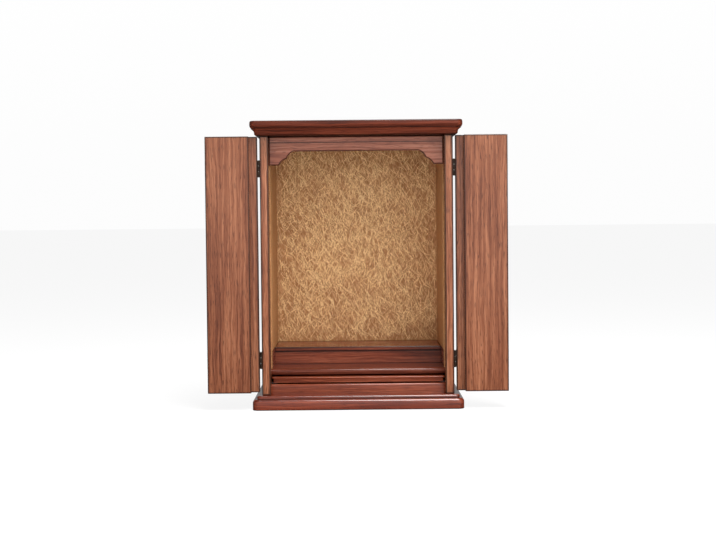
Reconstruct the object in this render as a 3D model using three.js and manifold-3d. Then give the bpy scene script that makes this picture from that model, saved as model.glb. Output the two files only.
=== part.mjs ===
// A small tabletop household altar cabinet: a moulded base and cornice, two side walls, a back
// board, a cusped frieze, a shelf with a raised rear step, a pull-out offering board, and a pair
// of two-leaf folding doors that stand fully open, each folded back to back beside its wall.
//
// Millimetres. X is to the right, Y to the back and Z up. In this file y = 0 is the plane of the
// side walls' front edges; the exported group is moved so that the origin is under the middle.
import * as THREE from 'three';
import Module from 'manifold-3d';
import { mergeVertices } from 'three/addons/utils/BufferGeometryUtils.js';

const wasm = await Module();
wasm.setup();

// ---------------------------------------------------------------- driving dimensions
const cabinetHeight = 424;
const bodyWidth = 284; // over the outer faces of the side walls
const wallThickness = 12.5;
const wallDepth = 205; // front edge to the face of the back board
const backThickness = 5;
const liningThickness = 1; // card faced with gold fibre paper

const slabFront = -18; // front of the base and of the cornice
const slabBack = 212;
const cornerRadius = 9; // plan radius of their front corners
const baseWidth = 311;
const baseHeight = 20.5;
const corniceWidth = 311.5;
const corniceHeight = 21.5;

const ceilingThickness = 3.5;
const friezeFront = 22;
const friezeThickness = 8;
const friezeHeight = 22; // in the middle
const bracketDrop = 42.5; // at the ends
const bracketWidth = 15; // flat underside at each end
const cuspDrop = 32.5;
const cuspInset = 26.5; // from the wall to the point between the two scallops
const scallopInset = 37; // from the wall to where the straight edge starts
const grooveDrop = 8.25;
const grooveWidth = 1.25;
const grooveDepth = 1;

const shelfFront = 27;
const shelfTop = 56.75;
const shelfThickness = 9;
const stepFront = 94;
const stepTop = 83;
const stepThickness = 6.75;
const riserSetback = 2;
const riserThickness = 10;

const railFront = 13;
const railThickness = 14;
const railHeight = 14.5;
const railChamfer = 2.5;
const runnerWidth = 8;
const runnerHeight = 4;
const runnerTop = 37;
const runnerBack = 197;

const pullBoardFront = 13.75;
const pullBoardDepth = 150;
const pullBoardThickness = 8;
const pullBoardClearance = 1; // at each end
const runningClearance = 0.25;

const doorThickness = 12;
const doorBottom = 25.25;
const doorTop = 401.5;
const mainLeafWidth = 75.5;
const foldingLeafWidth = 63.75;
const hingeAxisOut = 1; // main hinge axis, out from the wall's outer face
const hingeAxisFront = -1.25; // and forward of the wall's front edge
const leafEdgeGap = 2.5; // main hinge axis to the leaf's edge
const closedDoorGap = 1; // closed leaf to the wall's front edge
const foldGap = 0.5; // between the folded leaves, and between their edges when unfolded

const hingeHeight = 25;
const hingeFromEnd = 47; // centre of each hinge to the nearer end of the door
const plateThickness = 0.75;
const mainKnuckleRadius = 1.35;
const foldKnuckleRadius = 1;
const plateReach = 10; // plate width behind its knuckle
const knuckleGap = 0.25;

// ---------------------------------------------------------------- derived places
const halfBody = bodyWidth / 2;
const halfInside = halfBody - wallThickness;
const halfLined = halfInside - liningThickness;
const corniceUnder = cabinetHeight - corniceHeight;
const ceilingUnder = corniceUnder - ceilingThickness;
const liningFace = wallDepth - liningThickness;
const friezeBack = friezeFront + friezeThickness;
const mainLeafFront = 2 * hingeAxisFront + closedDoorGap;
const mainAxis = { x: halfBody + hingeAxisOut, y: hingeAxisFront };
const mainLeafEdge = mainAxis.x + leafEdgeGap;
const foldEdge = mainLeafEdge + mainLeafWidth;
const foldAxis = { x: foldEdge + foldGap / 2, y: mainLeafFront - foldGap / 2 };
const foldingLeafBack = mainLeafFront - foldGap;
const hingeHeights = [doorBottom + hingeFromEnd, doorTop - hingeFromEnd];
const originShift = -(slabFront + slabBack) / 2;

// ---------------------------------------------------------------- finishes
const finish = (color, roughness, metalness = 0) => ({ color, roughness, metalness });
const doorWood = finish(0x9b644e, 0.38);
const bodyWood = finish(0x965f50, 0.4);
const darkWood = finish(0x733c2d, 0.35);
const goldPaper = finish(0xb4825a, 0.5, 0.3);
const bronze = finish(0x2d2320, 0.45, 0.8);

// ---------------------------------------------------------------- geometry helpers
function weld(geometry) {
  geometry.deleteAttribute('normal');
  geometry.deleteAttribute('uv');
  return mergeVertices(geometry, 1e-4);
}

function toSolid(geometry) {
  const welded = weld(geometry.clone());
  const vertProperties = new Float32Array(welded.attributes.position.array);
  const triVerts = new Uint32Array(welded.index.array);
  return new wasm.Manifold(new wasm.Mesh({ numProp: 3, vertProperties, triVerts }));
}

function toGeometry(solid) {
  const mesh = solid.getMesh();
  const geometry = new THREE.BufferGeometry();
  geometry.setAttribute('position', new THREE.BufferAttribute(mesh.vertProperties, 3));
  geometry.setIndex(new THREE.BufferAttribute(mesh.triVerts, 1));
  return geometry;
}

const join = (geometries) => toGeometry(geometries.map(toSolid).reduce((a, b) => a.add(b)));
const cut = (body, tools) => toGeometry(
  tools.map(toSolid).reduce((rest, tool) => rest.subtract(tool), toSolid(body)),
);

// A plain block between two opposite corners, given in any order.
function block([x0, x1], [y0, y1], [z0, z1]) {
  const geometry = new THREE.BoxGeometry(Math.abs(x1 - x0), Math.abs(y1 - y0), Math.abs(z1 - z0));
  return geometry.translate((x0 + x1) / 2, (y0 + y1) / 2, (z0 + z1) / 2);
}

// How a flat outline and its thickness direction lie in space, for boards thin along X, Y or Z.
const [unitX, unitY, unitZ] = [[1, 0, 0], [0, 1, 0], [0, 0, 1]].map((v) => new THREE.Vector3(...v));
const boardFrames = {
  x: new THREE.Matrix4().makeBasis(unitY, unitZ, unitX),
  y: new THREE.Matrix4().makeBasis(unitX, unitZ, unitY.clone().negate()),
  z: new THREE.Matrix4().makeBasis(unitX, unitY, unitZ),
};

// An outline extruded along one axis between two places, with both faces' edges eased.
function slice(outline, axis, [low, high], ease = 0) {
  const geometry = new THREE.ExtrudeGeometry(outline, {
    depth: high - low - 2 * ease,
    bevelEnabled: ease > 0,
    bevelThickness: ease,
    bevelSize: ease,
    bevelOffset: -ease,
    bevelSegments: 3,
    curveSegments: 6,
  });
  const start = axis === 'y' ? -(high - ease) : low + ease;
  return geometry.translate(0, 0, start).applyMatrix4(boardFrames[axis]);
}

function rectangle([u0, u1], [v0, v1]) {
  const shape = new THREE.Shape();
  shape.moveTo(u0, v0).lineTo(u1, v0).lineTo(u1, v1).lineTo(u0, v1).closePath();
  return shape;
}

// A board with eased edges, thin along the named axis.
function board(axis, x, y, z, ease) {
  const faces = { x: [y, z, x], y: [x, z, y], z: [x, y, z] };
  const [u, v, thickness] = faces[axis];
  return slice(rectangle(u, v), axis, thickness, ease);
}

// A slab with a moulding round its front and sides: rings of one plan outline, each drawn in by
// its inset and set at its height. The back stays flat.
function mouldedSlab(width, profile) {
  const rings = profile.map(([inset, height]) => {
    const radius = cornerRadius - inset * 0.5;
    const side = width / 2 - inset;
    const front = slabFront + inset;
    const plan = new THREE.Shape();
    plan.moveTo(side, slabBack).lineTo(-side, slabBack).lineTo(-side, front + radius);
    plan.absarc(-side + radius, front + radius, radius, Math.PI, 1.5 * Math.PI, false);
    plan.absarc(side - radius, front + radius, radius, 1.5 * Math.PI, 2 * Math.PI, false);
    const apart = (point, i, all) => i === 0 || point.distanceTo(all[i - 1]) > 1e-6;
    return { points: plan.getPoints(8).filter(apart), height };
  });
  const count = rings[0].points.length;
  const vertices = rings.flatMap(({ points, height }) => points.flatMap(({ x, y }) => [x, y, height]));
  const triangles = [];
  for (let ring = 0; ring + 1 < rings.length; ring += 1) {
    for (let i = 0; i < count; i += 1) {
      const [a, b] = [ring * count + i, ring * count + ((i + 1) % count)];
      triangles.push(a, b, b + count, a, b + count, a + count);
    }
  }
  const last = (rings.length - 1) * count;
  for (let i = 1; i + 1 < count; i += 1) {
    triangles.push(0, i + 1, i);
    triangles.push(last, last + i, last + i + 1);
  }
  const geometry = new THREE.BufferGeometry();
  geometry.setAttribute('position', new THREE.Float32BufferAttribute(vertices, 3));
  geometry.setIndex(triangles);
  return geometry;
}

// Points of a profile's round: from one [inset, height] to another, on a quarter ellipse that
// leaves the first point along the inset direction ('flat') or along the height ('upright').
function quarter([i0, h0], [i1, h1], start, steps = 5) {
  return Array.from({ length: steps }, (_, step) => {
    const angle = ((step + 1) / steps) * (Math.PI / 2);
    const [fast, slow] = [Math.sin(angle), 1 - Math.cos(angle)];
    const [alongInset, alongHeight] = start === 'flat' ? [fast, slow] : [slow, fast];
    return [i0 + (i1 - i0) * alongInset, h0 + (h1 - h0) * alongHeight];
  });
}

// ---------------------------------------------------------------- the carcass
function base() {
  const ledge = 11; // top of the plain front face
  const ledgeRadius = 4.5;
  const neckInset = 6.5;
  const neckTop = 17;
  return mouldedSlab(baseWidth, [
    [0.75, 0],
    [0, 0.75],
    [0, ledge],
    ...quarter([0, ledge], [ledgeRadius, ledge + ledgeRadius], 'upright'),
    [neckInset, ledge + ledgeRadius],
    [neckInset, neckTop],
    [neckInset - 0.75, neckTop + 0.25],
    ...quarter([neckInset - 0.75, neckTop + 0.25], [neckInset + 2, baseHeight], 'upright', 4),
  ]);
}

function cornice() {
  const fasciaBottom = cabinetHeight - 10.75;
  return mouldedSlab(corniceWidth, [
    [9.5, corniceUnder],
    [7.5, corniceUnder + 1],
    [6.75, corniceUnder + 2],
    ...quarter([6.75, corniceUnder + 2], [1.75, fasciaBottom - 0.75], 'upright', 6),
    [0, fasciaBottom],
    [0, cabinetHeight - 0.75],
    [0.75, cabinetHeight],
  ]);
}

function sideWall(side) {
  const x = [side * halfInside, side * halfBody].sort((a, b) => a - b);
  return board('x', x, [0, wallDepth], [baseHeight, corniceUnder], 0.75);
}

function backBoard() {
  const y = [wallDepth, wallDepth + backThickness];
  return board('y', [-halfBody, halfBody], y, [baseHeight, corniceUnder], 0.75);
}

function ceiling() {
  return block([-halfInside, halfInside], [friezeBack, wallDepth], [ceilingUnder, corniceUnder]);
}

function backLining() {
  return block([-halfInside, halfInside], [liningFace, wallDepth], [shelfTop, ceilingUnder]);
}

function sideLining(side) {
  return block([side * halfInside, side * halfLined], [friezeBack, liningFace], [shelfTop, ceilingUnder]);
}

// The frieze hangs between the walls: straight in the middle, with a bracket of two scallops that
// meet in a point at each end, and one scored line along its face.
function frieze() {
  const top = corniceUnder;
  const outline = new THREE.Shape();
  outline.moveTo(-halfInside, top).lineTo(-halfInside, top - bracketDrop);
  for (const side of [-1, 1]) {
    const corners = [
      [side * (halfInside - bracketWidth), top - bracketDrop],
      [side * (halfInside - cuspInset), top - cuspDrop],
      [side * (halfInside - scallopInset), top - friezeHeight],
    ];
    if (side > 0) corners.reverse();
    outline.lineTo(...corners[0]);
    for (let i = 0; i < 2; i += 1) {
      const [from, to] = [corners[i], corners[i + 1]];
      const bulge = [0.5 * (from[0] + to[0]) + side * 2.5, 0.5 * (from[1] + to[1]) + 2.5];
      outline.quadraticCurveTo(...bulge, ...to);
    }
  }
  outline.lineTo(halfInside, top - bracketDrop).lineTo(halfInside, top).closePath();
  const panel = slice(outline, 'y', [friezeFront, friezeBack], 0.5);
  const grooveTop = top - grooveDrop;
  const groove = block(
    [-halfBody, halfBody],
    [friezeFront - 1, friezeFront + grooveDepth],
    [grooveTop - grooveWidth, grooveTop],
  );
  return cut(panel, [groove]);
}

// ---------------------------------------------------------------- inside
function shelf() {
  const ease = 2.5;
  const z = [shelfTop - shelfThickness, shelfTop];
  const outline = new THREE.Shape();
  outline.moveTo(wallDepth, z[0]).lineTo(wallDepth, z[1]).lineTo(shelfFront + ease, z[1]);
  outline.quadraticCurveTo(shelfFront + 0.25, z[1] - 0.25, shelfFront, z[1] - 2 * ease);
  outline.lineTo(shelfFront, z[0] + 0.5).lineTo(shelfFront + 0.5, z[0]).closePath();
  return slice(outline, 'x', [-halfInside, halfInside]);
}

function stepBoard() {
  const z = [stepTop - stepThickness, stepTop];
  return board('z', [-halfLined, halfLined], [stepFront, liningFace], z, 0.75);
}

function stepRiser() {
  const front = stepFront + riserSetback;
  return block([-halfLined, halfLined], [front, front + riserThickness], [shelfTop, stepTop - stepThickness]);
}

function bottomRail() {
  const z = [baseHeight, baseHeight + railHeight];
  const back = railFront + railThickness;
  const outline = new THREE.Shape();
  outline.moveTo(railFront, z[0]).lineTo(back, z[0]).lineTo(back, z[1]);
  outline.lineTo(railFront + railChamfer, z[1]).lineTo(railFront, z[1] - railChamfer).closePath();
  return slice(outline, 'x', [-halfInside, halfInside]);
}

function runner(side) {
  const x = [side * halfInside, side * (halfInside - runnerWidth)];
  return block(x, [railFront + railThickness, runnerBack], [runnerTop - runnerHeight, runnerTop]);
}

// The pull-out board has a rounded lip along its front, over a shallow finger hollow.
function pullBoard() {
  const lip = 2;
  const hollow = 2;
  const bottom = runnerTop + runningClearance;
  const top = bottom + pullBoardThickness;
  const outline = new THREE.Shape();
  outline.moveTo(pullBoardFront + hollow, bottom).lineTo(pullBoardFront + pullBoardDepth, bottom);
  outline.lineTo(pullBoardFront + pullBoardDepth, top).lineTo(pullBoardFront + lip / 2, top);
  outline.absarc(pullBoardFront + lip / 2, top - lip / 2, lip / 2, Math.PI / 2, 1.5 * Math.PI, false);
  outline.quadraticCurveTo(pullBoardFront + hollow, top - lip, pullBoardFront + hollow, top - lip - 2);
  outline.closePath();
  const half = halfInside - pullBoardClearance;
  return slice(outline, 'x', [-half, half], 0);
}

// ---------------------------------------------------------------- hinges and doors
// One hinge half: a plate and its knuckles about an upright axis, tied together by webs. Plate
// and webs are [out, back] ranges, counted from the axis. The fixed half has the end knuckles and
// the moving half has the middle one.
function hingeHalf(side, axis, centre, radius, plate, webs, moving) {
  const bottom = centre - hingeHeight / 2;
  const third = hingeHeight / 3;
  const joint = knuckleGap / 2;
  const spans = moving
    ? [[third + joint, 2 * third - joint]]
    : [[0, third - joint], [2 * third + joint, hingeHeight]];
  const local = ([out, back], z) => block(
    out.map((value) => side * (axis.x + value)),
    back.map((value) => axis.y + value),
    z,
  );
  const parts = [local(plate, [bottom, bottom + hingeHeight])];
  for (const [low, high] of spans) {
    const knuckle = new THREE.CylinderGeometry(radius, radius, high - low, 12);
    knuckle.rotateX(Math.PI / 2).translate(side * axis.x, axis.y, bottom + (low + high) / 2);
    parts.push(knuckle, ...webs.map((web) => local(web, [bottom + low, bottom + high])));
  }
  return join(parts);
}

// The fixed plate lies on the wall's outer face and the moving one on the leaf's edge.
function mainHingeHalf(side, centre, moving) {
  const thickness = moving
    ? [leafEdgeGap - plateThickness, leafEdgeGap]
    : [-hingeAxisOut, plateThickness - hingeAxisOut];
  const plateStart = mainKnuckleRadius + 0.4;
  const plate = [thickness, [plateStart, plateStart + plateReach]];
  const bridge = [[0, leafEdgeGap], [-plateThickness / 2, plateThickness / 2]];
  const webs = moving
    ? [bridge, [thickness, [-plateThickness / 2, plateStart]]]
    : [[thickness, [0, plateStart]]];
  return hingeHalf(side, mainAxis, centre, mainKnuckleRadius, plate, webs, moving);
}

// Where a folding hinge's plate lies, back of its axis: let into its own leaf's inner face.
const foldPlateFace = (moving) => (moving
  ? [-foldGap / 2 - plateThickness, -foldGap / 2]
  : [foldGap / 2, foldGap / 2 + plateThickness]);
const foldPlateEnd = -foldKnuckleRadius - 0.5;

function foldHingeHalf(side, centre, moving) {
  const face = foldPlateFace(moving);
  const plate = [[foldPlateEnd - plateReach, foldPlateEnd], face];
  const web = [[foldPlateEnd, 0], face];
  return hingeHalf(side, foldAxis, centre, foldKnuckleRadius, plate, [web], moving);
}

// The recess that lets a folding hinge into a leaf's inner face, with room for the knuckles.
function foldGain(side, centre, moving) {
  const seat = block(
    [side * (foldAxis.x + foldPlateEnd - plateReach), side * (foldAxis.x + foldKnuckleRadius)],
    foldPlateFace(moving).map((value) => foldAxis.y + value),
    [centre - hingeHeight / 2, centre + hingeHeight / 2],
  );
  const radius = foldKnuckleRadius + 0.3;
  const room = new THREE.CylinderGeometry(radius, radius, hingeHeight, 12);
  room.rotateX(Math.PI / 2).translate(side * foldAxis.x, foldAxis.y, centre);
  return [seat, room];
}

// A door leaf, from its edge nearer the cabinet, with its inner face forward or back.
function leaf(side, nearEdge, width, y, moving) {
  const x = [side * nearEdge, side * (nearEdge + width)].sort((a, b) => a - b);
  const panel = board('y', x, y, [doorBottom, doorTop], 1.25);
  return cut(panel, hingeHeights.flatMap((height) => foldGain(side, height, moving)));
}

function mainLeaf(side) {
  const y = [mainLeafFront, mainLeafFront + doorThickness];
  return leaf(side, mainLeafEdge, mainLeafWidth, y, false);
}

function foldingLeaf(side) {
  const y = [foldingLeafBack - doorThickness, foldingLeafBack];
  return leaf(side, foldEdge - foldingLeafWidth, foldingLeafWidth, y, true);
}

// ---------------------------------------------------------------- assembly
const cabinet = new THREE.Group();
cabinet.position.y = originShift;

function add(name, geometry, look) {
  const mesh = new THREE.Mesh(weld(geometry), new THREE.MeshStandardMaterial(look));
  mesh.name = name;
  mesh.geometry.computeVertexNormals();
  cabinet.add(mesh);
}

add('base', base(), darkWood);
add('cornice', cornice(), darkWood);
add('back_board', backBoard(), bodyWood);
add('ceiling', ceiling(), darkWood);
add('back_lining', backLining(), goldPaper);
add('frieze', frieze(), bodyWood);
add('shelf', shelf(), darkWood);
add('step_board', stepBoard(), darkWood);
add('step_riser', stepRiser(), darkWood);
add('bottom_rail', bottomRail(), bodyWood);
add('pull_board', pullBoard(), darkWood);

for (const [sideName, side] of [['left', -1], ['right', 1]]) {
  add(`${sideName}_wall`, sideWall(side), bodyWood);
  add(`${sideName}_lining`, sideLining(side), goldPaper);
  add(`${sideName}_runner`, runner(side), bodyWood);
  add(`${sideName}_main_leaf`, mainLeaf(side), doorWood);
  add(`${sideName}_folding_leaf`, foldingLeaf(side), doorWood);
  hingeHeights.forEach((height, i) => {
    const place = ['lower', 'upper'][i];
    add(`${sideName}_${place}_main_hinge_wall_half`, mainHingeHalf(side, height, false), bronze);
    add(`${sideName}_${place}_main_hinge_leaf_half`, mainHingeHalf(side, height, true), bronze);
    add(`${sideName}_${place}_fold_hinge_main_half`, foldHingeHalf(side, height, false), bronze);
    add(`${sideName}_${place}_fold_hinge_folding_half`, foldHingeHalf(side, height, true), bronze);
  });
}

const model = new THREE.Group();
model.add(cabinet);

export default model;
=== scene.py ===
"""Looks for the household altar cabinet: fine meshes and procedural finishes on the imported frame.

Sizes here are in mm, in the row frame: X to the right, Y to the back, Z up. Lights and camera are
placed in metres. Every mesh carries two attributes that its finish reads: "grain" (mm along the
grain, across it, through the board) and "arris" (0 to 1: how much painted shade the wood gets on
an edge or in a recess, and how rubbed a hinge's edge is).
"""
import math
import random

import bpy
import bmesh
import numpy as np
from mathutils import Matrix, Vector


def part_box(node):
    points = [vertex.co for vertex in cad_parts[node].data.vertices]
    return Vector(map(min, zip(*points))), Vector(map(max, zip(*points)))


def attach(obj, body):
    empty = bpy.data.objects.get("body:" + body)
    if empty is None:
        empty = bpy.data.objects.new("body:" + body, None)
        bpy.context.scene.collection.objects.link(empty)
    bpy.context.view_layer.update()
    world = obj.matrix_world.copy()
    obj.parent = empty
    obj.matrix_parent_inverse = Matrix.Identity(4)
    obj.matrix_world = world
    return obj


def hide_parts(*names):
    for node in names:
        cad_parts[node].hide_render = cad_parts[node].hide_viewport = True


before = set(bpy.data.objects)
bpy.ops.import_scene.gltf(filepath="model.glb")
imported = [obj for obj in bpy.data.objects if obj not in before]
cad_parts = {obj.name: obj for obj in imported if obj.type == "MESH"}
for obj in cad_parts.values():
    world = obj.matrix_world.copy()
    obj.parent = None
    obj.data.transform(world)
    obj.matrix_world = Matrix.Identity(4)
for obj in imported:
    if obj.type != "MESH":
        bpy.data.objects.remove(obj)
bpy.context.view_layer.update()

MM = 0.001
SIDES = {"left": -1, "right": 1}
GRAIN_AXES = {"x": (0, 2, 1), "z": (2, 0, 1), "y": (1, 0, 2), "deep": (1, 2, 0)}
SLAB_CORNER = 9.0  # plan radius of the front corners of the base and the cornice
# Beside an eased edge the arris fades out: painted shade on the wood, rubbed wear on the hinges.
ARRIS_FADE = ((0.5, 0.8), (1.4, 0.0))  # beside an eased edge: (share of the support, arris)
dice = random.Random(7)

FLOOR_GLOW = 0.88  # how much of the floor the camera sees as plain white
AMBIENT = 0.35
FRONT = 1.3
STRIP_POWER = 7.0
TOP_POWER = 66.0


# ---------------------------------------------------------------- places read from the frame
def span(node):
    """Lowest and highest corner of a CAD node at rest, in mm."""
    low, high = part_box(node)
    return np.array(low) / MM, np.array(high) / MM


# ---------------------------------------------------------------- mesh building
class Shape:
    """Points in mm, faces over them, and how much of an arris each point is."""

    def __init__(self, points, faces, arris=None):
        self.points = np.asarray(points, float)
        self.faces = [tuple(int(i) for i in face) for face in faces]
        self.arris = np.zeros(len(self.points)) if arris is None else np.asarray(arris, float)

    def moved(self, by):
        return Shape(self.points + np.asarray(by, float), self.faces, self.arris)

    def mapped(self, change):
        """The same faces over points put through a function of the whole array."""
        return Shape(change(self.points), self.faces, self.arris)


def joined(shapes):
    points, faces, arris = [], [], []
    start = 0
    for shape in shapes:
        points.append(shape.points)
        arris.append(shape.arris)
        faces += [tuple(i + start for i in face) for face in shape.faces]
        start += len(shape.points)
    return Shape(np.concatenate(points), faces, np.concatenate(arris))


def welded(points, faces, arris):
    """Merges points that coincide and drops faces that collapse."""
    keys = np.round(np.asarray(points), 5)
    _, first, inverse = np.unique(keys, axis=0, return_index=True, return_inverse=True)
    inverse = inverse.ravel()
    kept = []
    for face in faces:
        ring = [int(inverse[i]) for i in face]
        ring = [v for i, v in enumerate(ring) if v != ring[i - 1]]
        if len(ring) > 2:
            kept.append(ring)
    return Shape(np.asarray(points)[first], kept, np.asarray(arris)[first])


def eased_block(low, high, ease, steps=3, support=0.9):
    """A board or block whose edges and corners are rounded to the radius `ease`."""
    low, high = np.minimum(low, high).astype(float), np.maximum(low, high).astype(float)
    ease = min(ease, 0.45 * float((high - low).min()))
    turns = [math.tan(math.pi / 4 * (1 - i / steps)) for i in range(steps + 1)]

    def stations(axis):
        """Cuts along one axis: (inner place, lean towards the outside, arris)."""
        length = high[axis] - low[axis]
        reach = min(support, 0.2 * (length - 2 * ease))
        near, far = low[axis] + ease, high[axis] - ease
        # Rounded edges get the full arris: painted shade on the wood, rubbed wear on the hinges.
        start = [(near, -t, 1.0) for t in turns]
        middle = [(near + share * reach, 0.0, dark) for share, dark in ARRIS_FADE]
        middle += [(far - share * reach, 0.0, dark) for share, dark in reversed(ARRIS_FADE)]
        end = [(far, t, 1.0) for t in reversed(turns)]
        return start + middle + end

    points, faces, arris = [], [], []
    for axis in range(3):
        first, second = (axis + 1) % 3, (axis + 2) % 3
        us, vs = stations(first), stations(second)
        for side in (-1, 1):
            base = len(points)
            for u_place, u_lean, u_arris in us:
                for v_place, v_lean, v_arris in vs:
                    inner, lean = np.zeros(3), np.zeros(3)
                    inner[first], inner[second] = u_place, v_place
                    inner[axis] = high[axis] - ease if side > 0 else low[axis] + ease
                    lean[first], lean[second], lean[axis] = u_lean, v_lean, side
                    points.append(inner + ease * lean / np.linalg.norm(lean))
                    arris.append(max(u_arris, v_arris))
            for i in range(len(us) - 1):
                for j in range(len(vs) - 1):
                    a = base + i * len(vs) + j
                    quad = (a, a + len(vs), a + len(vs) + 1, a + 1)
                    faces.append(quad if side > 0 else quad[::-1])
    return welded(points, faces, arris)


def quarter(start, end, leaves, steps=8):
    """Points of a quarter round between two [inset, height] points, after the first. It leaves
    the first point along the inset ("flat") or along the height ("upright")."""
    places = []
    for step in range(1, steps + 1):
        angle = step / steps * math.pi / 2
        fast, slow = math.sin(angle), 1 - math.cos(angle)
        inset, height = (fast, slow) if leaves == "flat" else (slow, fast)
        places.append([start[0] + (end[0] - start[0]) * inset, start[1] + (end[1] - start[1]) * height])
    return places


def rounded_plan(half_width, front, back, radius, steps=10):
    """Plan outline, counter-clockwise from the back right corner, with rounded front corners."""
    plan = [(half_width, back), (-half_width, back)]
    for centre_x, start in ((-half_width + radius, math.pi), (half_width - radius, 1.5 * math.pi)):
        for step in range(steps + 1):
            angle = start + step / steps * math.pi / 2
            plan.append((centre_x + radius * math.cos(angle), front + radius + radius * math.sin(angle)))
    return plan


def moulded_slab(half_width, front, back, radius, profile):
    """A slab with a moulding round its front and sides: one rounded plan per profile point,
    [inset, height] or [inset, height, arris]."""
    points, faces, arris = [], [], []
    for inset, height, *edge in profile:
        corner = max(radius - 0.5 * inset, 0.6)
        plan = rounded_plan(half_width - inset, front + inset, back, corner)
        points += [(x, y, height) for x, y in plan]
        arris += (edge or [0.0]) * len(plan)
    count = len(points) // len(profile)
    for ring in range(len(profile) - 1):
        for i in range(count):
            a, b = ring * count + i, ring * count + (i + 1) % count
            faces.append((a, b, b + count, a + count))
    last = (len(profile) - 1) * count
    faces.append(tuple(reversed(range(count))))
    faces.append(tuple(range(last, last + count)))
    return Shape(points, faces, arris)


def strip_along_x(outline, x_low, x_high, ease=0.3):
    """A straight strip with one (y, z) section and eased ends."""
    outline = np.array(outline, float)
    middle = outline.mean(0)
    stations = [(x_low, ease), (x_low + ease, 0), (x_high - ease, 0), (x_high, ease)]
    points, faces = [], []
    for x, shrink in stations:
        half = np.abs(outline - middle).max(0)
        scale = 1 - shrink / half
        points += [(x, *(middle + (p - middle) * scale)) for p in outline]
    count = len(outline)
    for ring in range(len(stations) - 1):
        for i in range(count):
            a, b = ring * count + i, ring * count + (i + 1) % count
            faces.append((a, a + count, b + count, b))
    last = (len(stations) - 1) * count
    faces.append(tuple(range(count)))
    faces.append(tuple(reversed(range(last, last + count))))
    return Shape(points, faces)


def turned(profile, steps=24):
    """A solid turned about Z from (radius, height) points that start and end on the axis."""
    points, faces = [], []
    rings = []
    for radius, height in profile:
        if radius < 1e-6:
            rings.append([len(points)])
            points.append((0, 0, height))
            continue
        rings.append([len(points) + i for i in range(steps)])
        angles = [2 * math.pi * i / steps for i in range(steps)]
        points += [(radius * math.cos(a), radius * math.sin(a), height) for a in angles]
    for low, high in zip(rings, rings[1:]):
        for i in range(steps):
            j = (i + 1) % steps
            if len(low) == 1:
                faces.append((low[0], high[j], high[i]))
            elif len(high) == 1:
                faces.append((low[i], low[j], high[0]))
            else:
                faces.append((low[i], low[j], high[j], high[i]))
    return Shape(points, faces)


def outward(mesh):
    """Turns the faces out, whatever way round the outlines were drawn."""
    work = bmesh.new()
    work.from_mesh(mesh)
    bmesh.ops.recalc_face_normals(work, faces=work.faces)
    work.to_mesh(mesh)
    work.free()


def make_piece(name, shape, body, material, grain="x", replaces=(), sharp=32.0):
    """Makes the object, gives it its grain and arris attributes, and ties it to the frame."""
    mesh = bpy.data.meshes.new(name)
    mesh.from_pydata([tuple(p * MM) for p in shape.points], [], shape.faces)
    outward(mesh)
    offset = np.array([dice.uniform(-400, 400), dice.uniform(-150, 150), dice.uniform(-60, 60)])
    field = shape.points[:, GRAIN_AXES[grain]] + offset
    mesh.attributes.new("grain", "FLOAT_VECTOR", "POINT").data.foreach_set("vector", field.ravel())
    mesh.attributes.new("arris", "FLOAT", "POINT").data.foreach_set("value", shape.arris)
    mesh.polygons.foreach_set("use_smooth", [True] * len(mesh.polygons))
    mesh.set_sharp_from_angle(angle=math.radians(sharp))
    mesh.materials.append(material)
    piece = bpy.data.objects.new(name, mesh)
    bpy.context.scene.collection.objects.link(piece)
    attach(piece, body)
    if replaces:
        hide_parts(*replaces)
    return piece


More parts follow.
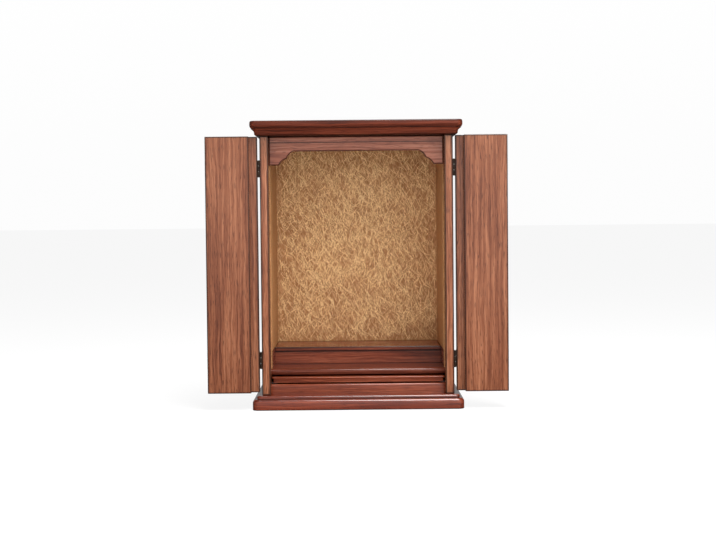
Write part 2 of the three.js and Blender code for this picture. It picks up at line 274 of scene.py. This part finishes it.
# ---------------------------------------------------------------- materials
class Nodes:
    """Adds nodes to one node tree and links them by value."""

    def __init__(self, tree):
        self.tree = tree
        tree.nodes.clear()

    def add(self, kind, **settings):
        node = self.tree.nodes.new(kind)
        for key, value in settings.items():
            setattr(node, key, value)
        return node

    def put(self, socket, value):
        if isinstance(value, bpy.types.NodeSocket):
            self.tree.links.new(value, socket)
        elif value is not None:
            socket.default_value = value

    def attribute(self, name, output="Vector"):
        return self.add("ShaderNodeAttribute", attribute_name=name).outputs[output]

    def maths(self, operation, a, b=None, c=None, clamp=False):
        node = self.add("ShaderNodeMath", operation=operation, use_clamp=clamp)
        for socket, value in zip(node.inputs, (a, b, c)):
            self.put(socket, value)
        return node.outputs[0]

    def vector(self, operation, a, b):
        node = self.add("ShaderNodeVectorMath", operation=operation)
        self.put(node.inputs[0], a)
        self.put(node.inputs[1], b)
        return node.outputs[0]

    def noise(self, vector, scale, detail=2.0, roughness=0.5, distortion=0.0):
        node = self.add("ShaderNodeTexNoise")
        for key, value in (
            ("Vector", vector), ("Scale", scale), ("Detail", detail),
            ("Roughness", roughness), ("Distortion", distortion),
        ):
            self.put(node.inputs[key], value)
        return node.outputs["Fac"]

    def streaks(self, vector, along, across, detail, roughness=0.5, distortion=0.0):
        """Noise drawn out along the first axis; its marks are about 1 / along by 1 / across mm."""
        stretched = self.vector("MULTIPLY", vector, (along, across, across))
        return self.noise(stretched, 1.0, detail, roughness, distortion)

    def between(self, value, low, high, to_low=0.0, to_high=1.0):
        """A smooth step that goes from to_low at low to to_high at high."""
        node = self.add("ShaderNodeMapRange", clamp=True, interpolation_type="SMOOTHSTEP")
        for socket, number in zip(node.inputs, (value, low, high, to_low, to_high)):
            self.put(socket, number)
        return node.outputs[0]

    def ramp(self, value, stops):
        node = self.add("ShaderNodeValToRGB")
        self.put(node.inputs["Fac"], value)
        elements = node.color_ramp.elements
        while len(elements) < len(stops):
            elements.new(1.0)
        for element, (place, colour) in zip(elements, stops):
            element.position = place
            element.color = (*colour, 1.0)
        return node.outputs["Color"]

    def mix(self, amount, a, b, blend="MIX"):
        node = self.add("ShaderNodeMix", data_type="RGBA", blend_type=blend)
        self.put(node.inputs["Factor"], amount)
        for socket, value in ((node.inputs["A"], a), (node.inputs["B"], b)):
            self.put(socket, (*value, 1.0) if isinstance(value, tuple) else value)
        return node.outputs["Result"]

    def bump(self, height, strength, distance):
        node = self.add("ShaderNodeBump")
        self.put(node.inputs["Height"], height)
        node.inputs["Strength"].default_value = strength
        node.inputs["Distance"].default_value = distance
        return node.outputs["Normal"]

    def shader(self, kind, **values):
        """A shader node with its sockets set by name."""
        node = self.add(kind)
        for key, value in values.items():
            self.put(node.inputs[key.replace("_", " ")], value)
        return node.outputs[0]

    def output(self, surface, kind="ShaderNodeOutputMaterial"):
        self.put(self.add(kind).inputs["Surface"], surface)


def new_material(name):
    material = bpy.data.materials.new(name)
    material.use_nodes = True
    return material, Nodes(material.node_tree)


def srgb(red, green, blue):
    """Linear colour from 0 to 255 screen values."""
    return tuple(
        c / 12.92 if c <= 0.04045 else ((c + 0.055) / 1.055) ** 2.4
        for c in (red / 255, green / 255, blue / 255)
    )


def scaled(colour, factor):
    return tuple(factor * c for c in colour)


def wood(name, dark, middle, light, figure=1.0, pores=0.5, gloss=0.16, coat=0.65):
    """Lacquered open-pored wood. The grain runs along the attribute's first axis."""
    sway_width, contrast, edge_shade_strength = 9.0 * figure, 3.9, 0.85
    tone_share, band_share, fibre_share = 0.25, 0.5, 0.25
    pore_colour, edge_shade_colour = scaled(dark, 0.35), scaled(dark, 0.2)
    material, n = new_material(name)
    grain = n.attribute("grain")
    wander = n.streaks(grain, 0.012, 0.05, 2.0)
    sway = n.maths("MULTIPLY", n.maths("SUBTRACT", wander, 0.5), sway_width)
    shift = n.add("ShaderNodeCombineXYZ")
    n.put(shift.inputs["Y"], sway)
    warped = n.vector("ADD", grain, shift.outputs["Vector"])
    tone = n.streaks(warped, 0.004, 0.035, 2.0)
    bands = n.streaks(warped, 0.006, 0.34, 3.0, 0.6)
    fibre = n.streaks(warped, 0.028, 1.1, 2.0, 0.6)
    mixed = n.maths("MULTIPLY_ADD", tone, tone_share, n.maths("MULTIPLY", bands, band_share))
    mixed = n.maths("MULTIPLY_ADD", fibre, fibre_share, mixed)
    shade = n.maths("MULTIPLY_ADD", n.maths("SUBTRACT", mixed, 0.5), contrast, 0.5, clamp=True)
    colour = n.ramp(shade, [(0.0, dark), (0.5, middle), (1.0, light)])
    pore = n.between(n.streaks(warped, 0.07, 1.0, 1.0, 0.4), 0.58, 0.68)
    colour = n.mix(n.maths("MULTIPLY", pore, pores), colour, pore_colour)
    # Painted shade: eased edges, the rims beside them and recesses are darkened by the arris attribute.
    edge = n.maths("MULTIPLY", n.attribute("arris", "Fac"), edge_shade_strength)
    colour = n.mix(edge, colour, edge_shade_colour)
    height = n.maths("SUBTRACT", n.maths("MULTIPLY", fibre, 0.4), pore)
    n.output(n.shader(
        "ShaderNodeBsdfPrincipled",
        Base_Color=colour,
        Roughness=n.between(fibre, 0.3, 0.7, 0.42, 0.52),
        Normal=n.bump(height, 0.25, 0.12 * MM),
        Specular_IOR_Level=0.05,
        Coat_Weight=coat,
        Coat_Roughness=gloss,
    ))
    return material


def gold_paper(name, tone=1.0, figure=1.0):
    """Ochre card with a web of short bright strokes and dark strokes of painted shadow, mostly on steep
    diagonals.
    """
    pale, deep = scaled(srgb(200, 144, 94), tone), scaled(srgb(178, 122, 76), tone)
    stroke_colour, shadow_colour = srgb(255, 214, 158), srgb(150, 98, 58)
    stroke_strength, shadow_strength = 0.4 * figure, 0.5 * figure
    material, n = new_material(name)
    place = n.attribute("grain")
    lanes = []
    for lean in (62, 118, 86):
        turn = n.add("ShaderNodeVectorRotate", rotation_type="Z_AXIS")
        n.put(turn.inputs["Vector"], place)
        turn.inputs["Angle"].default_value = math.radians(-lean)
        lanes.append(n.streaks(turn.outputs[0], 0.1, 0.5, 1.0, 0.5, 0.6))
    rising, falling, upright = lanes
    strokes = n.maths("MAXIMUM", n.between(rising, 0.54, 0.66), n.between(falling, 0.54, 0.66))
    shadows = n.maths("MAXIMUM", n.between(falling, 0.43, 0.33), n.between(upright, 0.43, 0.33))
    colour = n.ramp(n.noise(place, 0.05, 3.0), [(0.3, deep), (0.7, pale)])
    colour = n.mix(n.maths("MULTIPLY", shadows, shadow_strength), colour, shadow_colour)
    colour = n.mix(n.maths("MULTIPLY", strokes, stroke_strength), colour, stroke_colour)
    n.output(n.shader(
        "ShaderNodeBsdfPrincipled",
        Base_Color=colour,
        Metallic=0.15,
        Specular_IOR_Level=0.3,
        Roughness=0.5,
        Normal=n.bump(strokes, 0.5, 0.4 * MM),
    ))
    return material


def gold_foil(name):
    """The raised fibres: bright pale gold, some of them dull."""
    material, n = new_material(name)
    patch = n.noise(n.attribute("grain"), 0.35, 2.0)
    colour = n.ramp(patch, [(0.38, srgb(214, 162, 112)), (0.52, srgb(255, 218, 156))])
    n.output(n.shader(
        "ShaderNodeBsdfPrincipled",
        Base_Color=colour,
        Metallic=0.1,
        Roughness=n.between(patch, 0.3, 0.7, 0.5, 0.35),
    ))
    return material


def metal(name, colour, worn, roughness):
    """Dark bronzed steel with a faint mottle and rubbed edges."""
    material, n = new_material(name)
    mottle = n.noise(n.attribute("grain"), 0.6, 3.0, 0.6)
    shade = n.ramp(mottle, [(0.3, colour), (0.75, worn)])
    shade = n.mix(n.maths("MULTIPLY", n.attribute("arris", "Fac"), 0.5), shade, worn)
    n.output(n.shader(
        "ShaderNodeBsdfPrincipled",
        Base_Color=shade,
        Metallic=0.9,
        Roughness=n.between(mottle, 0.3, 0.7, roughness, roughness + 0.12),
        Normal=n.bump(mottle, 0.15, 0.1 * MM),
    ))
    return material


door_wood = wood("door_wood", srgb(80, 38, 22), srgb(115, 65, 41), srgb(147, 95, 67), pores=0.6)
stile_wood = wood("stile_wood", srgb(72, 32, 20), srgb(122, 69, 43), srgb(168, 112, 82), figure=1.6)
frieze_wood = wood("frieze_wood", srgb(104, 52, 38), srgb(143, 81, 59), srgb(172, 112, 89))
dark_wood = wood("dark_wood", srgb(60, 16, 7), srgb(95, 34, 15), srgb(123, 54, 30), pores=0.35, coat=1.0)
cornice_wood = wood(
    "cornice_wood", srgb(60, 22, 12), srgb(97, 41, 24), srgb(125, 62, 42), pores=0.35, coat=0.25
)
inner_wood = wood("inner_wood", srgb(76, 29, 14), srgb(113, 49, 27), srgb(144, 74, 48), pores=0.35)
shelf_wood = wood("shelf_wood", srgb(54, 19, 10), srgb(90, 39, 24), srgb(116, 60, 41), pores=0.35, coat=0.5)
plain_back = wood("plain_back", srgb(96, 66, 48), srgb(128, 92, 68), srgb(150, 112, 84), gloss=0.4)
paper = gold_paper("gold_paper")
# The side linings use a darker copy of the gold paper, with a fainter pattern: the darkness is painted
# shade.
side_paper = gold_paper("side_paper", tone=0.88, figure=0.4)
foil = gold_foil("gold_foil")
bronze = metal("bronze", srgb(34, 26, 24), srgb(92, 76, 64), 0.36)


# ---------------------------------------------------------------- carcass
def base():
    low, high = span("base")
    foot, ledge, ledge_radius = 0.75, 11.0, 4.5
    neck_inset, neck_top, bead, top_inset = 6.5, 17.0, 0.75, 2.0
    shoulder = ledge + ledge_radius
    # The third values are painted shade: along the bottom edges and in the corner under the neck.
    profile = [[foot, 0.0, 1.0], [0.2, 0.2, 1.0], [0.0, foot, 1.0], [0.0, 1.8], [0.0, ledge]]
    profile += quarter([0.0, ledge], [ledge_radius, shoulder], "upright")
    profile += [[neck_inset, shoulder, 0.5], [neck_inset, neck_top], [neck_inset - bead, neck_top + 0.25]]
    profile += quarter(profile[-1], [neck_inset + top_inset, high[2]], "upright")
    slab = moulded_slab(high[0], low[1], high[1], SLAB_CORNER, profile)
    make_piece("moulded_base", slab, "root", dark_wood, replaces=["base"])


def cornice():
    """From the bottom up: a small step, a cove, a sharp recess and a bullnose fascia."""
    low, high = span("cornice")
    under, top = low[2], high[2]
    fascia, cove_inset, recess, nose_height = top - 10.75, 6.75, 2.6, 5.2
    # The third values are painted shade: on the bottom edge and step, in the recess under the fascia and on
    # the top edge.
    profile = [[9.5, under, 1.0], [7.5, under + 1.0, 0.6], [cove_inset, under + 2.0]]
    profile += quarter([cove_inset, under + 2.0], [1.75, fascia - 0.75], "upright", 10)
    profile += [[recess, fascia - 0.4, 0.9], [recess, fascia, 0.9]]
    bullnose = quarter([recess, fascia], [0.0, fascia + nose_height], "flat", 6)
    bullnose += quarter([0.0, fascia + nose_height], [0.9, top - 0.7], "upright", 7)
    # Painted shade over the bullnose: light around its belly, more towards its bottom and most at its top
    # edge.
    bullnose_shade = (0.45, 0.3, 0.2, 0.15, 0.15, 0.15, 0.2, 0.3, 0.4, 0.5, 0.62, 0.74, 0.86)
    profile += [[*place, arris] for place, arris in zip(bullnose, bullnose_shade)]
    profile += [[1.3, top - 0.2, 1.0], [1.9, top, 1.0], [3.2, top]]
    slab = moulded_slab(high[0], low[1], high[1], SLAB_CORNER, profile)
    make_piece("moulded_cornice", slab, "root", cornice_wood, replaces=["cornice"])


def boards():
    """Every plain board: (name, replaced node, ease, grain axis, slot, material)."""
    plain = [
        ("back_panel", "back_board", 0.75, "z", "plain_back", plain_back),
        ("ceiling_board", "ceiling", 0.4, "x", "plain_back", plain_back),
        ("step_top", "step_board", 1.2, "x", "dark_wood", inner_wood),
        ("step_front", "step_riser", 0.3, "x", "dark_wood", inner_wood),
    ]
    for side in SIDES:
        plain += [
            (f"{side}_side_wall", f"{side}_wall", 1.2, "z", "body_wood", stile_wood),
            (f"{side}_runner_strip", f"{side}_runner", 0.4, "y", "dark_wood", dark_wood),
        ]
    for name, node, ease, grain, slot, material in plain:
        shape = eased_block(*span(node), ease)
        make_piece(name, shape, "root", material, grain, [node])


def cusped_outline(half_inside, top):
    """Outline of the frieze in X and Z: a straight middle and a bracket of two scallops a side."""
    bracket_drop, cusp_drop, height = 42.5, 32.5, 22.0
    bracket_width, cusp_inset, scallop_inset = 15.0, 26.5, 37.0
    corners = [
        (half_inside - bracket_width, top - bracket_drop),
        (half_inside - cusp_inset, top - cusp_drop),
        (half_inside - scallop_inset, top - height),
    ]
    hollow, steps = 2.5, 8
    right = [(half_inside, top), (half_inside, top - bracket_drop), corners[0]]
    for start, end in zip(corners, corners[1:]):
        control = (0.5 * (start[0] + end[0]) + hollow, 0.5 * (start[1] + end[1]) + hollow)
        for step in range(1, steps + 1):
            t = step / steps
            right.append(tuple(
                (1 - t) ** 2 * a + 2 * t * (1 - t) * c + t * t * b
                for a, c, b in zip(start, control, end)
            ))
    return right + [(-x, z) for x, z in reversed(right)]


def distance_to_outline(x, z, outline):
    """How far a point in X and Z is from the nearest side of a closed outline."""
    corners = np.array(outline, float)
    sides = np.roll(corners, -1, axis=0) - corners
    to_point = np.array([x, z]) - corners
    along = np.clip((to_point * sides).sum(1) / np.maximum((sides ** 2).sum(1), 1e-9), 0, 1)
    return float(np.linalg.norm(to_point - sides * along[:, None], axis=1).min())


def only_verts(geometry):
    return [v for v in geometry if isinstance(v, bmesh.types.BMVert)]


def frieze_board(outline, front, back, rounding, line_width):
    """A board from its X and Z outline: front edges rounded, and a narrow rim beside them."""
    def on_front(elements):
        return [e for e in elements if all(abs(v.co.y - front) < 1e-4 for v in e.verts)]

    work = bmesh.new()
    face = work.faces.new([work.verts.new((x, front, z)) for x, z in outline])
    moved = only_verts(bmesh.ops.extrude_face_region(work, geom=[face])["geom"])
    bmesh.ops.translate(work, verts=moved, vec=(0, back - front, 0))
    bmesh.ops.recalc_face_normals(work, faces=work.faces)
    edges = on_front(work.edges)
    bmesh.ops.bevel(work, geom=edges, offset=rounding, segments=4, profile=0.5, affect="EDGES")
    bmesh.ops.inset_region(work, faces=on_front(work.faces), thickness=line_width, use_even_offset=True)
    return work


def sink_groove(work, front, middle, width, depth):
    """Cuts a straight groove along X into the board's front."""
    for height in (middle + width / 2, middle - width / 2):
        everything = work.verts[:] + work.edges[:] + work.faces[:]
        bmesh.ops.bisect_plane(work, geom=everything, plane_co=(0, 0, height), plane_no=(0, 0, 1))
    floor = [
        f for f in work.faces
        if abs(f.calc_center_median().z - middle) < 0.3 * width
        and f.calc_center_median().y < front + depth / 2
        and abs(f.normal.y) > 0.9
    ]
    sunk = only_verts(bmesh.ops.extrude_face_region(work, geom=floor)["geom"])
    bmesh.ops.delete(work, geom=floor, context="FACES_ONLY")
    bmesh.ops.translate(work, verts=sunk, vec=(0, depth, 0))


def frieze():
    low, high = span("frieze")
    front = low[1]
    outline = cusped_outline(high[0], high[2])
    rounding, line_width = 1.3, 0.8
    groove_width, groove_depth = 1.25, 1.0
    groove = high[2] - 8.25 - groove_width / 2
    work = frieze_board(outline, front, high[1], rounding, line_width)
    sink_groove(work, front, groove, groove_width, groove_depth)
    work.verts.index_update()
    points = [tuple(v.co) for v in work.verts]
    faces = [[v.index for v in f.verts] for f in work.faces]
    work.free()

    def arris(x, y, z):
        """Painted shade: full on the groove's floor and the rounded edges, fading over the rim beside them.
        """
        if abs(z - groove) < groove_width and y > front + groove_depth / 2:
            return 1.0
        if y >= front + rounding - 0.01:
            return 0.0
        reach = distance_to_outline(x, z, outline)
        return min(max(1 - (reach - rounding) / line_width, 0.0), 1.0)

    shape = Shape(points, faces, [arris(*p) for p in points])
    make_piece("cusped_frieze", shape, "root", frieze_wood, replaces=["frieze"])


def linings():
    sheets = [("back_paper", "back_lining", paper, "x")]
    sheets += [(f"{side}_side_paper", f"{side}_lining", side_paper, "deep") for side in SIDES]
    for name, node, material, grain in sheets:
        sheet = eased_block(*span(node), 0.1, steps=1)
        make_piece(name, sheet, "root", material, grain, [node])


def skirts():
    """The wood below the side papers, from the shelf up to the step."""
    thickness, back_gap, overlap = 0.5, 0.5, 3.0
    bottom, top = span("shelf")[1][2], span("step_board")[1][2]
    front = span("step_board")[0][1] + overlap
    for side, sign in SIDES.items():
        low, high = span(f"{side}_lining")
        face = low[0] if sign > 0 else high[0]
        strip = eased_block((face - sign * thickness, low[1] + back_gap, bottom), (face, front, top), 0.2)
        make_piece(f"{side}_skirt", strip, "root", inner_wood, "y")


def fibre(start, heading, length, bend, width, height):
    """A thin ridge on a flat sheet: a curved strip with a raised middle line, in X and Z."""
    steps, blunt_end, fullness = 7, 0.15, 0.6
    points, faces = [], []
    at = np.array(start, float)
    for step in range(steps + 1):
        turn = heading + bend * (step / steps - 0.5)
        along = np.array([math.cos(turn), math.sin(turn)])
        aside = np.array([-along[1], along[0]])
        taper = blunt_end + math.sin(math.pi * step / steps) ** fullness
        for offset, lift in ((-0.5, 0.0), (0.0, height), (0.5, 0.0)):
            x, z = at + aside * offset * width * taper
            points.append((x, -lift * min(taper, 1.0), z))
        at = at + along * length / steps
    for step in range(steps):
        for lane in (0, 1):
            a = 3 * step + lane
            faces.append((a, a + 1, a + 4, a + 3))
    return Shape(points, faces)


def gold_fibres():
    """Gold threads pressed into the back paper, mostly on steep diagonals, denser in the middle."""
    count, shortest, mean_extra, longest = 3800, 6, 9, 55
    headings, heading_spread, bend_spread = (58, 122, 122, 90), 16, 0.8
    margin, thinning, height, sunk = 3, 0.45, 0.25, 0.02
    low, high = span("back_lining")
    step_top = span("step_board")[1][2]
    middle = np.array([(low[0] + high[0]) / 2, (step_top + high[2]) / 2])
    half = np.array([high[0] - low[0], high[2] - step_top]) / 2
    threads = []
    while len(threads) < count:
        length = min(shortest + dice.expovariate(1 / mean_extra), longest)
        heading = math.radians(dice.choice(headings) + dice.gauss(0, heading_spread))
        spot = middle + half * np.array([dice.uniform(-1, 1), dice.uniform(-1, 1)])
        reach = np.array([math.cos(heading), math.sin(heading)]) * length
        inside = np.abs(spot + reach - middle) < half - margin
        crowd = 1 - thinning * float(np.abs((spot - middle) / half).max()) ** 2
        if not inside.all() or dice.random() > crowd:
            continue
        width = dice.uniform(0.55, 1.15)
        threads.append(fibre(spot, heading, length, dice.gauss(0, bend_spread), width, height))
    web = joined(threads).moved((0, low[1] + sunk, 0))
    make_piece("gold_fibres", web, "root", foil, "x", sharp=60)


# ---------------------------------------------------------------- shelf, rail and pull-out board
def shelf():
    low, high = span("shelf")
    nose_depth, nose_drop, ease = 5.5, 4.0, 0.6
    front, top = low[1], high[2]
    outline = [(high[1], low[2]), (high[1], top), (front + nose_depth, top)]
    rounding = quarter([nose_depth, top], [0.0, top - nose_drop], "flat")
    outline += [(front + inset, height) for inset, height in rounding]
    outline += [(front, low[2] + ease), (front + 0.2, low[2] + 0.2), (front + ease, low[2])]
    strip = strip_along_x(outline, low[0], high[0])
    make_piece("shelf_board", strip, "root", shelf_wood, replaces=["shelf"])


def bottom_rail():
    low, high = span("bottom_rail")
    radius = 2.5
    front, top = low[1], high[2]
    outline = [(front, low[2]), (high[1], low[2]), (high[1], top), (front + radius, top)]
    rounding = quarter([radius, top], [0.0, top - radius], "flat")
    outline += [(front + inset, height) for inset, height in rounding]
    strip = strip_along_x(outline, low[0], high[0])
    make_piece("rail", strip, "root", inner_wood, replaces=["bottom_rail"])


def pull_board():
    """A board with a round lip along its front and side edges, over a slightly set back face."""
    low, high = span("pull_board")
    lip, setback, hollow, corner, steps = 1.0, 2.0, 2.0, 3.0, 8
    top = high[2]
    lip_bottom = top - 2 * lip
    profile = [[setback, low[2]], [setback, lip_bottom - hollow]]
    profile += quarter(profile[-1], [lip, lip_bottom], "upright", 5)
    for step in range(1, steps + 1):
        angle = math.pi / 2 * (-1 + 2 * step / steps)
        profile.append([lip - lip * math.cos(angle), top - lip + lip * math.sin(angle)])
    slab = moulded_slab(high[0], low[1], high[1], corner, profile)
    make_piece("offering_board", slab, "pull_board", inner_wood, replaces=["pull_board"])


# ---------------------------------------------------------------- doors
def door_leaves():
    for side in SIDES:
        for leaf, body in (("main", f"{side}_door"), ("folding", f"{side}_door_fold")):
            node = f"{side}_{leaf}_leaf"
            shape = eased_block(*span(node), 1.0)
            make_piece(f"{side}_{leaf}_door", shape, body, door_wood, "z", [node])


# ---------------------------------------------------------------- floor, light and camera
def stage():
    """A pale floor. The camera sees it mostly as even white, with the soft shadows kept faint."""
    mesh = bpy.data.meshes.new("floor")
    size = 30.0
    corners = [(-size, -size, 0), (size, -size, 0), (size, size, 0), (-size, size, 0)]
    mesh.from_pydata(corners, [], [(0, 1, 2, 3)])
    floor = bpy.data.objects.new("floor", mesh)
    bpy.context.scene.collection.objects.link(floor)
    floor.visible_glossy = False
    material, n = new_material("floor_paint")
    seen = n.add("ShaderNodeLightPath").outputs["Is Camera Ray"]
    blend = n.add("ShaderNodeMixShader")
    n.put(blend.inputs[0], n.maths("MULTIPLY", seen, FLOOR_GLOW))
    n.put(blend.inputs[1], n.shader("ShaderNodeBsdfDiffuse", Color=(0.9, 0.9, 0.9, 1.0)))
    n.put(blend.inputs[2], n.shader("ShaderNodeEmission", Color=(1.0, 1.0, 1.0, 1.0)))
    n.output(blend.outputs[0])
    mesh.materials.append(material)


def softbox(name, place, aim, size, power):
    lamp = bpy.data.lights.new(name, "AREA")
    lamp.shape = "RECTANGLE"
    lamp.size, lamp.size_y = size
    lamp.energy = power
    box = bpy.data.objects.new(name, lamp)
    bpy.context.scene.collection.objects.link(box)
    box.location = place
    box.rotation_euler = (Vector(aim) - Vector(place)).to_track_quat("-Z", "Y").to_euler()
    box.visible_camera = False


def studio():
    """A white background, and light that comes mostly from a low, wide, pale wall in front."""
    scene = bpy.context.scene
    scene.view_settings.view_transform = "Standard"
    world = bpy.data.worlds.new("studio")
    world.use_nodes = True
    scene.world = world
    n = Nodes(world.node_tree)
    direction = n.add("ShaderNodeSeparateXYZ")
    n.put(direction.inputs[0], n.add("ShaderNodeTexCoord").outputs["Generated"])
    right, back, up = direction.outputs
    ahead = n.between(back, -0.3, -0.9)
    foot, head = n.between(up, -0.13, 0.0), n.between(up, 0.6, 0.15, 0.3, 1.0)
    brighter_right = n.between(right, -0.3, 0.3, 0.7, 1.3)
    wall = n.maths("MULTIPLY", n.maths("MULTIPLY", ahead, n.maths("MULTIPLY", foot, head)), brighter_right)
    room = n.between(up, -0.1, 0.05, 0.08, AMBIENT)
    light = n.maths("MULTIPLY_ADD", wall, FRONT, room)
    seen = n.add("ShaderNodeLightPath").outputs["Is Camera Ray"]
    strength = n.maths("MULTIPLY", light, n.maths("SUBTRACT", 1.0, seen))
    strength = n.maths("MULTIPLY_ADD", seen, n.between(up, 0.0, 0.2, 0.98, 1.0), strength)
    background = n.shader("ShaderNodeBackground", Color=(1.0, 1.0, 1.0, 1.0), Strength=strength)
    n.output(background, "ShaderNodeOutputWorld")
    aim = (0.0, -0.1, 0.2)
    softbox("top_softbox", (0.3, -0.65, 1.9), aim, (0.85, 1.15), TOP_POWER)
    softbox("strip_softbox", (0.5, -1.6, 1.55), aim, (1.1, 0.22), STRIP_POWER)


def camera():
    """The photograph's view: almost level, from a little over 2 m in front."""
    place = (-0.00306, -2.2336, 0.2868)
    yaw, pitch, roll = 0.00194, 0.03849, -0.00976
    forward = Vector((math.sin(yaw) * math.cos(pitch), math.cos(yaw) * math.cos(pitch), -math.sin(pitch)))
    level = Vector((math.cos(yaw), -math.sin(yaw), 0))
    rise = level.cross(forward)
    right = math.cos(roll) * level + math.sin(roll) * rise
    up = -math.sin(roll) * level + math.cos(roll) * rise
    lens = bpy.data.cameras.new("camera")
    lens.sensor_width = 36.0
    lens.lens = 73.02
    lens.clip_end = 100.0
    view = bpy.data.objects.new("camera", lens)
    bpy.context.scene.collection.objects.link(view)
    turn = Matrix((right, up, -forward)).transposed().to_4x4()
    view.matrix_world = Matrix.Translation(place) @ turn
    bpy.context.scene.camera = view


# ---------------------------------------------------------------- hinges
# Places on a hinge are counted outward (out) and to the back from its axis, as on the right side.
PLATE_GAUGE = 0.75
PLATE_REACH = 10.0
MAIN_RADIUS = 1.35
MAIN_PLATE_START = 1.75
LEAF_EDGE = 2.5
WALL_FACE = -1.0
FOLD_RADIUS = 1.0
FOLD_PLATE_START = -1.5
FOLD_GAP = 0.5
BARREL_JOINT = 0.125
SCREW_PLACES = (0.16, 0.5, 0.84)


def upright_bar(out, back, heights):
    """A small plate from ranges counted outward and back from the hinge axis."""
    return eased_block((out[0], back[0], heights[0]), (out[1], back[1], heights[1]), 0.15, steps=2)


def knuckle(radius, low, high):
    """One barrel of a hinge, with the head of its pin showing at both ends."""
    lip, head = 0.2, 0.55 * radius
    upper = [(radius, high - 2 * lip), (radius - lip, high - lip), (head, high - lip), (head, high)]
    lower = [(head, low), (head, low + lip), (radius - lip, low + lip), (radius, low + 2 * lip)]
    return turned([(0, low), *lower, *upper, (0, high)])


def screw_head(place, facing):
    """A domed screw head with a socket, facing along (out, back) from the plate."""
    profile = [(0, -0.3), (1.3, -0.3), (1.5, 0.0), (1.2, 0.1), (0.6, 0.12), (0.5, -0.1), (0, -0.1)]

    def laid_over(points):
        x, y, z = points.T
        return np.stack([facing[0] * z, x, y] if facing[0] else [x, facing[1] * z, y], 1)

    return turned(profile, 20).mapped(laid_over).moved(place)


def main_hinge_layout(low, high, moving):
    """Axis, barrel radius, plate, webs, screw spot and facing of a main hinge's half."""
    axis = (low[0] + MAIN_RADIUS, low[1] + MAIN_RADIUS)
    gauge = (-PLATE_GAUGE / 2, PLATE_GAUGE / 2)
    spot_back = MAIN_PLATE_START + PLATE_REACH / 2
    back = (MAIN_PLATE_START, MAIN_PLATE_START + PLATE_REACH)
    if moving:
        out = (LEAF_EDGE - PLATE_GAUGE, LEAF_EDGE)
        webs = [(out, (gauge[0], MAIN_PLATE_START)), ((0, LEAF_EDGE), gauge)]
        return axis, MAIN_RADIUS, (out, back), webs, (out[0], spot_back), (-1, 0)
    out = (WALL_FACE, WALL_FACE + PLATE_GAUGE)
    webs = [(out, (0, MAIN_PLATE_START))]
    return axis, MAIN_RADIUS, (out, back), webs, (out[1], spot_back), (1, 0)


def fold_hinge_layout(low, high, moving):
    """The same for a folding hinge's half, whose plate faces the other leaf when folded."""
    face, facing = (-FOLD_GAP / 2, 1) if moving else (FOLD_GAP / 2, -1)
    axis = (high[0] - FOLD_RADIUS, low[1] + FOLD_RADIUS if moving else high[1] - FOLD_RADIUS)
    back = (face - facing * PLATE_GAUGE, face)
    out = (FOLD_PLATE_START - PLATE_REACH, FOLD_PLATE_START)
    webs = [((FOLD_PLATE_START, 0), back)]
    spot = (FOLD_PLATE_START - PLATE_REACH / 2, face)
    return axis, FOLD_RADIUS, (out, back), webs, spot, (0, facing)


def hinge_half(side, place, half, body):
    """One half of a butt hinge: plate, barrels and three screws, mirrored for the left side."""
    node = f"{side}_{place}_{half}"
    mirror = np.array([SIDES[side], 1, 1])
    corners = np.sort([corner * mirror for corner in span(node)], axis=0)
    moving = half in ("main_hinge_leaf_half", "fold_hinge_folding_half")
    layout = main_hinge_layout if half.startswith("main_hinge") else fold_hinge_layout
    axis, radius, plate, webs, spot, facing = layout(*corners, moving)
    bottom, top = corners[:, 2]
    height, third = top - bottom, (top - bottom) / 3
    barrels = [(0, third - BARREL_JOINT), (2 * third + BARREL_JOINT, height)]
    if moving:
        barrels = [(third + BARREL_JOINT, 2 * third - BARREL_JOINT)]
    parts = [upright_bar(*plate, (0, height))]
    for heights in barrels:
        parts.append(knuckle(radius, *heights))
        parts += [upright_bar(*web, heights) for web in webs]
    parts += [screw_head((*spot, height * share), facing) for share in SCREW_PLACES]
    shape = joined(parts).moved((*axis, bottom)).mapped(lambda points: points * mirror)
    make_piece(f"{node}_detail", shape, body, bronze, "z", [node])


def hinges():
    for side in SIDES:
        for place in ("lower", "upper"):
            hinge_half(side, place, "main_hinge_wall_half", "root")
            hinge_half(side, place, "main_hinge_leaf_half", f"{side}_door")
            hinge_half(side, place, "fold_hinge_main_half", f"{side}_door")
            hinge_half(side, place, "fold_hinge_folding_half", f"{side}_door_fold")


camera()
base()
cornice()
boards()
frieze()
linings()
skirts()
gold_fibres()
shelf()
bottom_rail()
pull_board()
door_leaves()
hinges()
stage()
studio()
